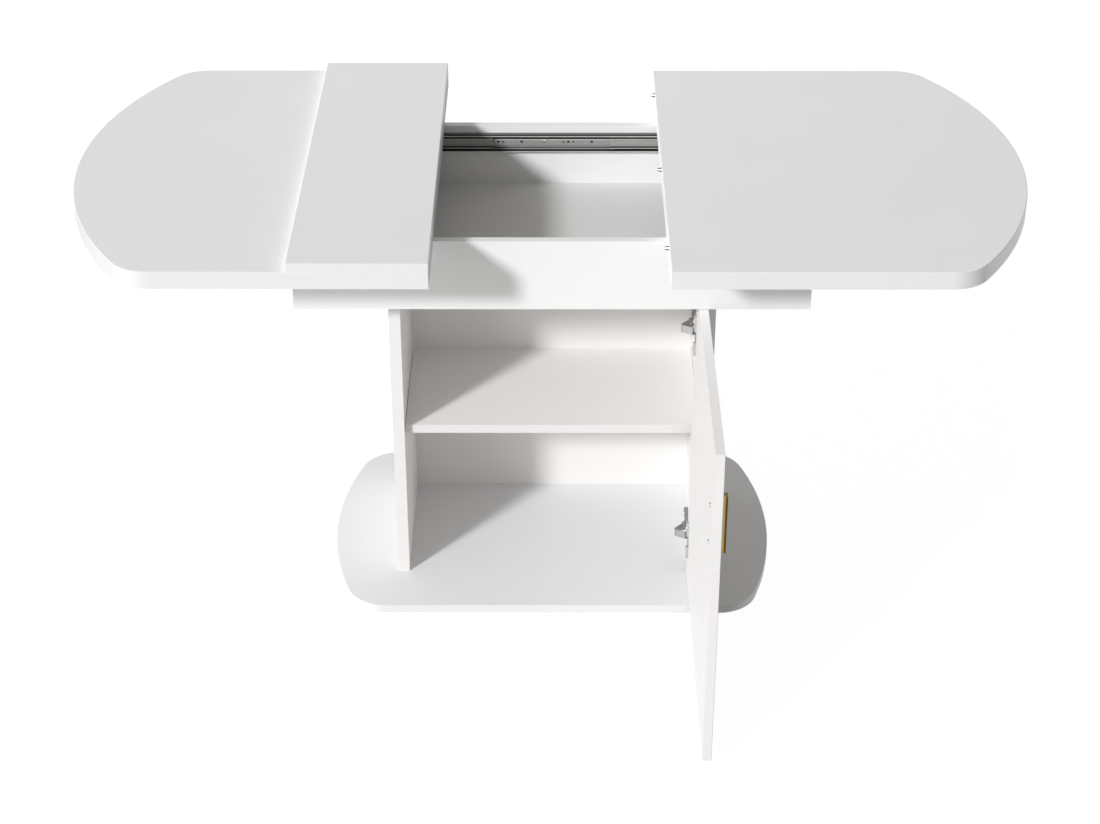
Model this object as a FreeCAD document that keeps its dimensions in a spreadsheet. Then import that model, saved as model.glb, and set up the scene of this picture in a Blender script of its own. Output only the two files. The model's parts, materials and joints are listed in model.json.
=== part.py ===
import FreeCAD, Part
import math
import operator
import os
import Sketcher

# Extending dining table on a cabinet: two sliding top halves over a storage tray,
# a loose middle leaf, and a side-hung door on concealed hinges.
# Frame: X along the table, Y to the back, Z up, origin on the floor under the middle of the base.
# All lengths are in millimetres.

LENGTHS = {
    # Base plate, bowed at both ends
    "base_length": 800.0,
    "base_depth": 509.5,
    "base_thickness": 16.2,
    "base_bow_radius": 621.0,
    "base_corner_radius": 72.0,
    # Cabinet between the base and the tray
    "cabinet_width": 556.0,
    "cabinet_depth": 297.0,
    "side_thickness": 20.0,
    "back_thickness": 8.0,
    "shelf_thickness": 16.0,
    "shelf_underside": 300.6,
    "shelf_setback": 15.6,
    "shelf_side_gap": 0.5,
    "shelf_pin_diameter": 5.0,
    "shelf_pin_reach": 7.0,
    "shelf_pin_depth": 9.0,
    "shelf_pin_inset": 45.0,
    # Storage tray under the tops
    "tray_length": 853.4,
    "tray_depth": 469.0,
    "tray_height": 125.4,
    "tray_wall": 14.5,
    "tray_floor_thickness": 13.0,
    # Tops
    "table_height": 760.0,
    "top_depth": 800.0,
    "top_thickness": 30.0,
    "top_gap": 0.6,
    "half_length": 613.4,
    "top_bow_radius": 649.0,
    "top_corner_radius": 70.6,
    "edge_round": 1.5,
    "left_pull": 192.8,
    "right_pull": 186.2,
    # Loose leaf
    "leaf_width": 222.0,
    "leaf_thickness": 15.0,
    # Alignment pins between the halves
    "pin_diameter": 8.0,
    "pin_reach": 9.5,
    "pin_tip_diameter": 2.4,
    "pin_tip_length": 8.0,
    "pin_seat_depth": 20.0,
    "pin_hole_depth": 12.0,
    "pin_spread": 303.0,
    "pin_middle_offset": 12.0,
    # Ball-bearing slides on the tray's long walls
    "slide_height": 32.8,
    "slide_depth": 12.7,
    "slide_drop": 13.3,
    "slide_sheet": 1.2,
    "slide_end_gap": 3.0,
    "slide_play": 0.8,
    "outer_lip": 3.0,
    "web_rise": 2.4,
    "web_rise_height": 14.0,
    "web_bevel": 1.2,
    "middle_ball_space": 5.2,
    "middle_lip": 2.6,
    "middle_length": 296.0,
    "middle_closed_offset": 10.9,
    "inner_setback": 4.2,
    "slide_hole_diameter": 4.4,
    "slide_pilot_diameter": 3.0,
    "slide_hole_pitch": 42.0,
    "slide_hole_offset": 13.0,
    "slide_pilot_spacing": 9.0,
    # Cleats that hang the tops on the slides
    "cleat_length": 208.0,
    "cleat_thickness": 18.0,
    "cleat_drop": 50.0,
    # Door
    "door_thickness": 15.0,
    "door_overlay": 7.3,
    "door_gap": 1.5,
    "door_clearance": 1.2,
    "door_open_inset": 14.5,
    "door_open_lead": 2.9,
    "door_edge_round": 1.0,
    # Handle
    "handle_length": 107.0,
    "handle_bar_width": 8.0,
    "handle_bar_thickness": 6.5,
    "handle_stand_off": 11.5,
    "handle_screw_spacing": 68.0,
    "handle_foot_diameter": 7.0,
    "handle_edge_distance": 56.5,
    "handle_drop": 160.3,
    "handle_screw_diameter": 4.0,
    "handle_screw_head": 8.0,
    "handle_screw_head_height": 2.0,
    "handle_screw_grip": 6.0,
    # Concealed hinges
    "hinge_lower_margin": 87.1,
    "hinge_upper_margin": 79.8,
    "cup_diameter": 35.0,
    "cup_depth": 11.4,
    "cup_wall": 0.8,
    "cup_edge_distance": 20.5,
    "flange_thickness": 1.0,
    "flange_rim": 1.0,
    "wing_thickness": 4.2,
    "wing_length": 78.0,
    "wing_width": 14.0,
    "wing_offset": 6.0,
    "cup_pivot_edge": 8.0,
    "cup_pivot_depth": 2.2,
    "hinge_reach": 34.0,
    "link_sheet": 2.0,
    "link_height": 14.0,
    "link_knee_side": 18.6,
    "link_knee_drop": 19.8,
    "link_knee_radius": 4.0,
    "link_toe_side": 7.2,
    "link_toe_drop": 4.6,
    "link_toe_radius": 4.0,
    "link_eye": 6.0,
    "link_eye_height": 10.0,
    "hinge_pin_diameter": 2.5,
    "arm_thickness": 7.0,
    "arm_height": 14.0,
    "arm_tail": 10.0,
    "arm_cheek": 1.2,
    "arm_nose_radius": 4.0,
    "arm_screw_diameter": 4.0,
    "arm_screw_head": 7.0,
    "arm_screw_head_height": 1.8,
    "arm_screw_grip": 5.0,
    "arm_screw_spacing": 29.0,
    "arm_screw_setback": 8.0,
    "plate_set_back": 37.0,
    "plate_block_height": 9.0,
    "plate_block_width": 11.0,
    "plate_block_length": 38.0,
    "plate_wing_length": 48.0,
    "plate_wing_width": 14.0,
    "plate_sheet": 2.0,
    "plate_screw_spacing": 32.0,
    "cup_screw_spacing": 52.0,
    "hinge_screw_diameter": 3.5,
    "hinge_screw_length": 12.0,
    "hinge_screw_head": 7.0,
    "hinge_screw_head_height": 1.6,
    # Joinery
    "dowel_diameter": 8.0,
    "dowel_length": 30.0,
    "dowel_base_depth": 10.0,
    "dowel_inset": 50.0,
    # Clearances
    "pin_clearance": 0.05,
    "seat_clearance": 0.1,
    "hole_clearance": 0.15,
    "cut_overrun": 1.0,
}

SHEET_NAME = "Sizes"

SIGNS = {"+": operator.add, "-": operator.sub, "*": operator.mul, "/": operator.truediv}


class Size:
    """A length that carries its value and the sheet expression that it comes from."""

    def __init__(self, value, text):
        self.value = float(value)
        self.text = text

    def __add__(self, other):
        return joined(self, "+", other)

    def __radd__(self, other):
        return joined(other, "+", self)

    def __sub__(self, other):
        return joined(self, "-", other)

    def __rsub__(self, other):
        return joined(other, "-", self)

    def __mul__(self, other):
        return joined(self, "*", other)

    def __rmul__(self, other):
        return joined(other, "*", self)

    def __truediv__(self, other):
        return joined(self, "/", other)

    def __neg__(self):
        return joined(-1, "*", self)


def as_size(item):
    """A plain number becomes a Size too, so that sums can mix both."""
    return item if isinstance(item, Size) else Size(item, repr(float(item)))


def joined(left, sign, right):
    """The Size that an arithmetic sign makes of two others."""
    left, right = as_size(left), as_size(right)
    return Size(SIGNS[sign](left.value, right.value), "(%s %s %s)" % (left.text, sign, right.text))


class Dimensions:
    """The driving lengths as attributes, each read from its cell in the sheet."""

    def __init__(self, cells):
        for name in LENGTHS:
            setattr(self, name, Size(cells.get(name), "%s.%s" % (SHEET_NAME, name)))


doc = FreeCAD.newDocument("extending_table")
sheet = doc.addObject("Spreadsheet::Sheet", SHEET_NAME)
for row, (name, value) in enumerate(LENGTHS.items(), start=1):
    sheet.set("A%d" % row, name)
    sheet.set("B%d" % row, str(value))
    sheet.setAlias("B%d" % row, name)
doc.recompute()

dim = Dimensions(sheet)
parts = []


# Helpers: bodies, sketches and features

def bind(thing, path, size):
    """Tie one property of an object to the sheet."""
    thing.setExpression(path, as_size(size).text)


def place(thing, x=0, y=0, z=0):
    """Put a sub-part at a place that follows the sheet."""
    for axis, size in zip("xyz", (x, y, z)):
        bind(thing, ".Placement.Base." + axis, size)


def new_body(label):
    """A sub-part made of sketched features."""
    body = doc.addObject("PartDesign::Body", label)
    body.Label = label
    parts.append(body)
    return body


def new_solid(label, shape):
    """A sub-part whose shape is made directly, used for the bent links and arms of the hinges."""
    feature = doc.addObject("Part::Feature", label)
    feature.Label = label
    feature.Shape = shape
    feature.Placement = FreeCAD.Placement()
    parts.append(feature)
    return feature


TURNS = {
    "+x": FreeCAD.Rotation(FreeCAD.Vector(0, 1, 0), 90),
    "-x": FreeCAD.Rotation(FreeCAD.Vector(0, 1, 0), -90),
    "+y": FreeCAD.Rotation(FreeCAD.Vector(1, 0, 0), -90),
    "-y": FreeCAD.Rotation(FreeCAD.Vector(1, 0, 0), 90),
    "+z": FreeCAD.Rotation(),
}


def primitive(kind, name, sizes, start, direction="+z"):
    """A box, cylinder or cone that follows the sheet, starting at a place and pointing one way."""
    thing = doc.addObject("Part::" + kind, name)
    thing.Placement = FreeCAD.Placement(FreeCAD.Vector(), TURNS[direction])
    for path, size in sizes.items():
        bind(thing, path, size)
    place(thing, *start)
    return thing


def rod(name, diameter, length, start, direction="+z"):
    """A plain round rod."""
    return primitive("Cylinder", name, {"Radius": diameter / 2, "Height": length}, start, direction)


def block(name, size_x, size_y, size_z, start):
    """A plain box, starting at its lowest corner."""
    return primitive("Box", name, {"Length": size_x, "Width": size_y, "Height": size_z}, start)


def joined_solid(name, pieces):
    fused = doc.addObject("Part::MultiFuse", name)
    fused.Shapes = pieces
    fused.Refine = True
    return fused


def cut_solid(name, solid, tools):
    """A solid less its tools, one cut for each."""
    for number, tool in enumerate(tools, start=1):
        cut = doc.addObject("Part::Cut", "%s_%d" % (name, number))
        cut.Base = solid
        cut.Tool = tool
        solid = cut
    return solid


def new_group(label, pieces):
    """A sub-part of several alike but separate solids."""
    group = doc.addObject("Part::Compound", label)
    group.Label = label
    group.Links = pieces
    parts.append(group)
    return group


def new_sketch(body, plane, name, level=0):
    """A sketch on one of the body's own planes, moved along the plane's axis to a level."""
    sketch = body.newObject("Sketcher::SketchObject", name)
    support = [item for item in body.Origin.OriginFeatures if item.Role == plane][0]
    sketch.AttachmentSupport = [(support, "")]
    sketch.MapMode = "FlatFace"
    # The XZ plane faces -Y, so its offset is counted the other way
    along = -as_size(level) if plane == "XZ_Plane" else as_size(level)
    bind(sketch, "AttachmentOffset.Base.z", along)
    return sketch


def fix_point(sketch, geometry, point, x, y):
    """Hold one point of a sketch at (x, y) from the sketch's origin."""
    axes = (("DistanceX", -2, as_size(x)), ("DistanceY", -1, as_size(y)))
    for kind, axis, size in axes:
        if size.value == 0.0:
            sketch.addConstraint(Sketcher.Constraint("PointOnObject", geometry, point, axis))
        else:
            number = sketch.addConstraint(Sketcher.Constraint(kind, -1, 1, geometry, point, size.value))
            bind(sketch, "Constraints[%d]" % number, size)


def vector(x, y):
    return FreeCAD.Vector(as_size(x).value, as_size(y).value, 0)


def polygon(sketch, points):
    """A closed outline of straight lines through the points."""
    count = len(points)
    for index in range(count):
        start, end = points[index], points[(index + 1) % count]
        sketch.addGeometry(Part.LineSegment(vector(*start), vector(*end)), False)
    for index in range(count):
        after = (index + 1) % count
        sketch.addConstraint(Sketcher.Constraint("Coincident", index, 2, after, 1))
        fix_point(sketch, index, 1, *points[index])


def rectangle_points(x0, x1, y0, y1):
    return [(x0, y0), (x1, y0), (x1, y1), (x0, y1)]


def circles(sketch, centres, diameter):
    """Equal circles at the centres."""
    radius = as_size(diameter).value / 2
    for index, (x, y) in enumerate(centres):
        sketch.addGeometry(Part.Circle(vector(x, y), FreeCAD.Vector(0, 0, 1), radius), False)
        fix_point(sketch, index, 3, x, y)
        number = sketch.addConstraint(Sketcher.Constraint("Diameter", index, 2 * radius))
        bind(sketch, "Constraints[%d]" % number, diameter)


def pad(body, sketch, name, length):
    """Raise a sketch along +X, +Y or +Z."""
    feature = body.newObject("PartDesign::Pad", name)
    feature.Profile = sketch
    bind(feature, "Length", length)
    plane = sketch.AttachmentSupport[0][0].Role
    feature.Reversed = plane == "XZ_Plane"
    sketch.Visibility = False
    return feature


def drill(body, plane, level, centres, diameter, depth, forward, name):
    """Blind holes from a level, cut along the plane's axis, forward or backward."""
    sketch = new_sketch(body, plane, name + "_sketch", level)
    circles(sketch, centres, diameter)
    feature = body.newObject("PartDesign::Pocket", name)
    feature.Profile = sketch
    bind(feature, "Length", depth)
    feature.Reversed = forward if plane != "XZ_Plane" else not forward
    sketch.Visibility = False
    return feature


def edge_names(feature, wanted):
    """The names of a feature's edges that pass a test."""
    edges = feature.Shape.Edges
    return ["Edge%d" % (number + 1) for number, edge in enumerate(edges) if wanted(edge)]


def rounded(body, feature, name, radius, wanted):
    """Round the edges of the last feature that pass a test."""
    doc.recompute()
    fillet = body.newObject("PartDesign::Fillet", name)
    fillet.Base = (feature, edge_names(feature, wanted))
    bind(fillet, "Radius", radius)
    return fillet


def is_upright(edge):
    start, end = edge.Vertexes[0].Point, edge.Vertexes[-1].Point
    return len(edge.Vertexes) == 2 and abs(start.z - end.z) > 0.9 * edge.Length


def lies_at_height(height):
    """A test for edges that lie flat at a height of the piece's own frame."""
    level = as_size(height).value
    tolerance = 1e-4 * level if level else 1e-4

    def wanted(edge):
        box = edge.BoundBox
        return abs(box.ZMin - level) < tolerance and abs(box.ZMax - level) < tolerance

    return wanted


def board(label, x0, x1, y0, y1, height):
    """A plain rectangular board: its plan raised to its height."""
    body = new_body(label)
    sketch = new_sketch(body, "XY_Plane", label + "_plan")
    polygon(sketch, rectangle_points(x0, x1, y0, y1))
    return body, pad(body, sketch, label + "_board", height)


# Places that several pieces share

half_base_depth = dim.base_depth / 2
half_width = dim.cabinet_width / 2
inner_width = half_width - dim.side_thickness
front_face = -dim.cabinet_depth / 2
back_face = dim.cabinet_depth / 2
tray_base = dim.table_height - dim.top_thickness - dim.top_gap - dim.tray_height
cabinet_height = tray_base - dim.base_thickness
rim = tray_base + dim.tray_height
half_tray_length = dim.tray_length / 2
half_tray_depth = dim.tray_depth / 2
tray_inner_length = half_tray_length - dim.tray_wall
tray_inner_depth = half_tray_depth - dim.tray_wall
top_underside = dim.table_height - dim.top_thickness
pin_places = (dim.pin_spread, -dim.pin_middle_offset, -dim.pin_spread)
pin_drop = dim.leaf_thickness / 2
pin_bore = dim.pin_diameter + 2 * dim.pin_clearance
dowel_places = (dim.cabinet_depth / 2 - dim.dowel_inset, -(dim.cabinet_depth / 2 - dim.dowel_inset))
dowel_bore = dim.dowel_diameter + 2 * dim.pin_clearance
dowel_side_depth = dim.dowel_length - dim.dowel_base_depth


# Base plate

def bowed_plan(sketch, length, depth, radius):
    """An outline with two straight long sides and two bowed ends."""
    half_length, half_depth = length / 2, depth / 2
    middle = half_length.value - radius.value
    turn = math.asin(half_depth.value / radius.value)
    reach = middle + radius.value * math.cos(turn)
    corner = half_depth.value
    upward = FreeCAD.Vector(0, 0, 1)
    right_circle = Part.Circle(FreeCAD.Vector(middle, 0, 0), upward, radius.value)
    left_circle = Part.Circle(FreeCAD.Vector(-middle, 0, 0), upward, radius.value)
    sketch.addGeometry(Part.ArcOfCircle(right_circle, -turn, turn), False)
    back = Part.LineSegment(FreeCAD.Vector(reach, corner, 0), FreeCAD.Vector(-reach, corner, 0))
    sketch.addGeometry(back, False)
    sketch.addGeometry(Part.ArcOfCircle(left_circle, math.pi - turn, math.pi + turn), False)
    front = Part.LineSegment(FreeCAD.Vector(-reach, -corner, 0), FreeCAD.Vector(reach, -corner, 0))
    sketch.addGeometry(front, False)
    for index in range(4):
        sketch.addConstraint(Sketcher.Constraint("Coincident", index, 2, (index + 1) % 4, 1))
    for arc, centre in ((0, half_length - radius), (2, radius - half_length)):
        fix_point(sketch, arc, 3, centre, 0)
        number = sketch.addConstraint(Sketcher.Constraint("Radius", arc, radius.value))
        bind(sketch, "Constraints[%d]" % number, radius)
    for line, height in ((1, half_depth), (3, -half_depth)):
        sketch.addConstraint(Sketcher.Constraint("Horizontal", line))
        number = sketch.addConstraint(Sketcher.Constraint("DistanceY", -1, 1, line, 1, height.value))
        bind(sketch, "Constraints[%d]" % number, height)


def make_base():
    body = new_body("base_plate")
    sketch = new_sketch(body, "XY_Plane", "base_plan")
    bowed_plan(sketch, dim.base_length, dim.base_depth, dim.base_bow_radius)
    plate = pad(body, sketch, "base_board", dim.base_thickness)
    rounded(body, plate, "base_corners", dim.base_corner_radius, is_upright)
    centre = half_width - dim.side_thickness / 2
    centres = [(side * centre, y) for side in (-1, 1) for y in dowel_places]
    drill(body, "XY_Plane", dim.base_thickness, centres, dowel_bore, dim.dowel_base_depth, False,
          "base_dowel_holes")


# Cabinet

def make_side(label, side):
    """One upright side, with dowel holes in its ends and shelf pin holes inside."""
    x0 = dim.side_thickness / -2
    body, _ = board(label, x0, -x0, front_face, back_face, cabinet_height)
    place(body, side * (half_width - dim.side_thickness / 2), 0, dim.base_thickness)
    centres = [(0, y) for y in dowel_places]
    drill(body, "XY_Plane", 0, centres, dowel_bore, dowel_side_depth, True, label + "_lower_holes")
    drill(body, "XY_Plane", cabinet_height, centres, dowel_bore, dowel_side_depth, False,
          label + "_upper_holes")
    drill(body, "YZ_Plane", side * x0, shelf_pin_centres(), shelf_pin_bore, dim.shelf_pin_depth, side > 0,
          label + "_shelf_holes")
    if side > 0:
        pilots = [(plate_y, level - dim.base_thickness)
                  for height in hinge_heights for level in plate_screw_heights(height)]
        drill(body, "YZ_Plane", x0, pilots, hinge_screw_bore, hinge_pilot_depth - dim.plate_sheet, True,
              label + "_hinge_pilots")


shelf_pin_bore = dim.shelf_pin_diameter + 2 * dim.pin_clearance
shelf_front = front_face + dim.shelf_setback
cabinet_back_inner = back_face - dim.back_thickness


def shelf_pin_centres():
    """Two pins a side, just under the shelf, in a side's own frame."""
    height = dim.shelf_underside - dim.base_thickness - dim.shelf_pin_diameter / 2
    return [(shelf_front + dim.shelf_pin_inset, height),
            (cabinet_back_inner - dim.shelf_pin_inset, height)]


def make_cabinet():
    make_side("cabinet_left_side", -1)
    make_side("cabinet_right_side", 1)
    back, _ = board("cabinet_back", -inner_width, inner_width, cabinet_back_inner, back_face,
                    cabinet_height)
    place(back, 0, 0, dim.base_thickness)
    shelf_half = inner_width - dim.shelf_side_gap
    shelf, _ = board("shelf", -shelf_half, shelf_half, shelf_front, cabinet_back_inner,
                     dim.shelf_thickness)
    place(shelf, 0, 0, dim.shelf_underside)
    make_shelf_pins()
    make_dowels()


def make_shelf_pins():
    """Steel pins in the sides that carry the shelf."""
    pins = []
    for side, direction in ((-1, "-x"), (1, "+x")):
        for y, height in shelf_pin_centres():
            start = (side * (inner_width - dim.shelf_pin_reach), y, height + dim.base_thickness)
            length = dim.shelf_pin_reach + dim.shelf_pin_depth - dim.seat_clearance
            pins.append(rod("shelf_pin", dim.shelf_pin_diameter, length, start, direction))
    new_group("shelf_pins", pins)


def make_dowels():
    """Beech dowels between the base, the sides and the tray floor."""
    lower = dim.base_thickness - dim.dowel_base_depth
    upper = tray_base - dowel_side_depth
    centre = half_width - dim.side_thickness / 2
    length = dim.dowel_length - 2 * dim.seat_clearance
    dowels = []
    for side in (-1, 1):
        for y in dowel_places:
            for height in (lower, upper):
                start = (side * centre, y, height + dim.seat_clearance)
                dowels.append(rod("dowel", dim.dowel_diameter, length, start))
    new_group("cabinet_dowels", dowels)


# Storage tray

def make_tray():
    floor, _ = board("tray_floor", -tray_inner_length, tray_inner_length, -tray_inner_depth,
                     tray_inner_depth, dim.tray_floor_thickness)
    place(floor, 0, 0, tray_base)
    centre = half_width - dim.side_thickness / 2
    centres = [(side * centre, y) for side in (-1, 1) for y in dowel_places]
    drill(floor, "XY_Plane", 0, centres, dowel_bore, dim.dowel_base_depth, True, "tray_dowel_holes")
    for label, side in (("tray_front_wall", -1), ("tray_back_wall", 1)):
        wall, _ = board(label, -half_tray_length, half_tray_length, dim.tray_wall / -2, dim.tray_wall / 2,
                        dim.tray_height)
        place(wall, 0, side * (half_tray_depth - dim.tray_wall / 2), tray_base)
    for label, side in (("tray_left_end", -1), ("tray_right_end", 1)):
        wall, _ = board(label, dim.tray_wall / -2, dim.tray_wall / 2, -tray_inner_depth, tray_inner_depth,
                        dim.tray_height)
        place(wall, side * (half_tray_length - dim.tray_wall / 2), 0, tray_base)


# Slides: an outer channel on each long wall, and a middle and an inner member for each half

slide_centre = rim - dim.slide_drop - dim.slide_height / 2
middle_height = dim.slide_height - 2 * dim.slide_sheet - 2 * dim.middle_ball_space
inner_height = middle_height - 2 * dim.middle_lip - 2 * dim.slide_play
web_front = dim.web_rise + dim.slide_sheet
middle_near = web_front + dim.slide_play
middle_far = dim.slide_depth - dim.slide_sheet - dim.slide_play
inner_near = middle_near + dim.slide_sheet + dim.slide_play
inner_far = dim.slide_depth + dim.slide_play
outer_length = 2 * (tray_inner_length - dim.slide_end_gap)


def above_and_below(points):
    """A section that is alike above and below, from its upper half read from front to back."""
    return points + [(y, -z) for y, z in reversed(points)]


def outer_section():
    """Rolled outer member: lips turned in at the front, and a web pressed forward in the middle."""
    half = dim.slide_height / 2
    raised = dim.web_rise_height / 2
    foot = raised + dim.web_bevel
    sheet_size, front = dim.slide_sheet, dim.slide_depth
    back = above_and_below([(0, half), (0, foot), (dim.web_rise, raised)])
    face = above_and_below([(front, half), (front, half - dim.outer_lip),
                            (front - sheet_size, half - dim.outer_lip),
                            (front - sheet_size, half - sheet_size), (sheet_size, half - sheet_size),
                            (sheet_size, foot), (web_front, raised)])
    return back + list(reversed(face))


def middle_section():
    """Rolled channel with its web towards the wall and two lips turned in at the front."""
    half, sheet_size = middle_height / 2, dim.slide_sheet
    upper = [(middle_far, half), (middle_far, half - dim.middle_lip),
             (middle_far - sheet_size, half - dim.middle_lip), (middle_far - sheet_size, half - sheet_size),
             (middle_near + sheet_size, half - sheet_size)]
    return above_and_below(upper) + [(middle_near, -half), (middle_near, half)]


def inner_section():
    """Rolled channel that runs inside the middle member, with its web on the cleat."""
    half, sheet_size = inner_height / 2, dim.slide_sheet
    upper = [(inner_far, half), (inner_near, half), (inner_near, half - sheet_size),
             (inner_far - sheet_size, half - sheet_size)]
    lower = [(y, -z) for y, z in reversed(upper)]
    return upper + lower


def slide_member(label, points, length, x, wall):
    """A rolled member along X. Its section is drawn outwards from the wall it hangs on."""
    mirrored = [(wall * y, z) for y, z in points]
    body = new_body(label)
    sketch = new_sketch(body, "YZ_Plane", label + "_section")
    polygon(sketch, mirrored)
    pad(body, sketch, label + "_length", length)
    place(body, x, -wall * tray_inner_depth, slide_centre)
    return body


def drill_outer(body, label, wall):
    """Fixing holes along the raised web, and a pair of small ones beside every third hole."""
    room = outer_length / 2 - dim.slide_hole_offset - dim.slide_hole_pitch / 2
    count = int(room.value / dim.slide_hole_pitch.value)
    places = {number: outer_length / 2 + number * dim.slide_hole_pitch - dim.slide_hole_offset
              for number in range(-count, count + 1)}
    fixing = [(x, 0) for x in places.values()]
    small = [(x + side * dim.slide_pilot_spacing, 0)
             for number, x in places.items() if number % 3 == 1 for side in (-1, 1)]
    for kind, centres, diameter in (("fixing", fixing, dim.slide_hole_diameter),
                                    ("small", small, dim.slide_pilot_diameter)):
        drill(body, "XZ_Plane", wall * web_front, centres, diameter, 2 * dim.slide_sheet, wall < 0,
              "%s_%s_holes" % (label, kind))


def half_places(side):
    """Where the members and cleats of one half begin at rest, and which way they run."""
    pull = dim.left_pull if side < 0 else dim.right_pull
    member_start = pull + dim.inner_setback
    middle_start = dim.middle_closed_offset + pull / 2
    if side < 0:
        return -(member_start + dim.cleat_length), -(middle_start + dim.middle_length)
    return member_start, middle_start


def make_slides():
    for place_name, wall in (("front", 1), ("back", -1)):
        label = "slide_outer_" + place_name
        outer = slide_member(label, outer_section(), outer_length, outer_length / -2, wall)
        drill_outer(outer, label, wall)
        for half_name, side in (("left", -1), ("right", 1)):
            inner_start, middle_start = half_places(side)
            slide_member("%s_slide_middle_%s" % (half_name, place_name), middle_section(),
                         dim.middle_length, middle_start, wall)
            slide_member("%s_slide_inner_%s" % (half_name, place_name), inner_section(),
                         dim.cleat_length, inner_start, wall)


# Tops, cleats, pins and leaf

def half_plan(sketch, side):
    """A top half: straight inner edge on the Y axis and a bowed outer end."""
    half_depth = dim.top_depth / 2
    radius = dim.top_bow_radius
    middle = dim.half_length - radius
    turn = math.asin(half_depth.value / radius.value)
    reach = side * (middle.value + radius.value * math.cos(turn))
    corner = half_depth.value
    facing = 0.0 if side > 0 else math.pi
    circle = Part.Circle(FreeCAD.Vector(side * middle.value, 0, 0), FreeCAD.Vector(0, 0, 1), radius.value)
    sketch.addGeometry(Part.ArcOfCircle(circle, facing - turn, facing + turn), False)
    ends = [FreeCAD.Vector(reach, side * corner, 0), FreeCAD.Vector(0, side * corner, 0),
            FreeCAD.Vector(0, -side * corner, 0), FreeCAD.Vector(reach, -side * corner, 0)]
    for start, end in zip(ends, ends[1:]):
        sketch.addGeometry(Part.LineSegment(start, end), False)
    for index in range(4):
        sketch.addConstraint(Sketcher.Constraint("Coincident", index, 2, (index + 1) % 4, 1))
    fix_point(sketch, 0, 3, side * middle, 0)
    number = sketch.addConstraint(Sketcher.Constraint("Radius", 0, radius.value))
    bind(sketch, "Constraints[%d]" % number, radius)
    fix_point(sketch, 2, 1, 0, side * half_depth)
    fix_point(sketch, 2, 2, 0, -side * half_depth)
    sketch.addConstraint(Sketcher.Constraint("Horizontal", 1))
    sketch.addConstraint(Sketcher.Constraint("Horizontal", 3))


def make_half(label, side, pull):
    body = new_body(label)
    sketch = new_sketch(body, "XY_Plane", label + "_plan")
    half_plan(sketch, side)
    slab = pad(body, sketch, label + "_board", dim.top_thickness)

    def is_outer_corner(edge):
        return is_upright(edge) and abs(edge.Vertexes[0].X) > dim.half_length.value / 2

    corners = rounded(body, slab, label + "_corners", dim.top_corner_radius, is_outer_corner)
    rounded(body, corners, label + "_arris", dim.edge_round, lies_at_height(dim.top_thickness))
    bore = pin_bore if side > 0 else dim.pin_diameter + 2 * dim.hole_clearance
    depth = dim.pin_seat_depth if side > 0 else dim.pin_hole_depth
    centres = [(y, dim.top_thickness - pin_drop) for y in pin_places]
    drill(body, "YZ_Plane", 0, centres, bore, depth, side > 0, label + "_pin_holes")
    place(body, side * pull, 0, top_underside)


def make_pins():
    """Three tapered pins in the right half's inner edge."""
    height = dim.table_height - pin_drop
    root = dim.right_pull + dim.pin_seat_depth - dim.seat_clearance
    shoulder = dim.right_pull - dim.pin_reach + dim.pin_tip_length
    cone = {"Radius1": dim.pin_diameter / 2, "Radius2": dim.pin_tip_diameter / 2,
            "Height": dim.pin_tip_length}
    pins = []
    for y in pin_places:
        shank = rod("pin_shank", dim.pin_diameter, root - shoulder, (root, y, height), "-x")
        tip = primitive("Cone", "pin_tip", cone, (shoulder, y, height), "-x")
        pins.append(joined_solid("alignment_pin", [shank, tip]))
    new_group("alignment_pins", pins)


def make_cleats():
    """Battens under each half, screwed to the inner slide members."""
    face = tray_inner_depth - inner_far
    for half_name, side in (("left", -1), ("right", 1)):
        start, _ = half_places(side)
        for place_name, wall in (("front", -1), ("back", 1)):
            cleat, _ = board("%s_cleat_%s" % (half_name, place_name), 0, dim.cleat_length,
                             dim.cleat_thickness / -2, dim.cleat_thickness / 2, dim.cleat_drop)
            place(cleat, start, wall * (face - dim.cleat_thickness / 2), top_underside - dim.cleat_drop)


def make_leaf():
    """The loose middle leaf, laid on the left half, with pin holes in both long edges."""
    half_depth = dim.top_depth / 2
    body, slab = board("leaf_panel", -dim.leaf_width, 0, -half_depth, half_depth, dim.leaf_thickness)
    rounded(body, slab, "leaf_arris", dim.edge_round / 2, lies_at_height(dim.leaf_thickness))
    bore = dim.pin_diameter + 2 * dim.hole_clearance
    centres = [(y, dim.leaf_thickness - pin_drop) for y in pin_places]
    drill(body, "YZ_Plane", 0, centres, bore, dim.pin_hole_depth, False, "leaf_right_holes")
    drill(body, "YZ_Plane", -dim.leaf_width, centres, bore, dim.pin_hole_depth, True, "leaf_left_holes")
    place(body, -dim.left_pull, 0, dim.table_height)


# Door, handle and concealed hinges. At rest the door stands open, square to the front.

door_width = 2 * (inner_width + dim.door_overlay)
door_height = tray_base - dim.base_thickness - 2 * dim.door_clearance
door_bottom = dim.base_thickness + dim.door_clearance
door_inner = inner_width - dim.door_open_inset
door_outer = door_inner + dim.door_thickness
door_hinge_edge = front_face - dim.door_open_lead
door_free_edge = door_hinge_edge - door_width
door_top = door_bottom + door_height
hinge_heights = (door_bottom + dim.hinge_lower_margin, door_top - dim.hinge_upper_margin)
handle_y = door_free_edge + dim.handle_edge_distance
handle_height = door_top - dim.handle_drop
handle_screw_heights = (handle_height - dim.handle_screw_spacing / 2,
                        handle_height + dim.handle_screw_spacing / 2)
cup_y = door_hinge_edge - dim.cup_edge_distance


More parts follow.
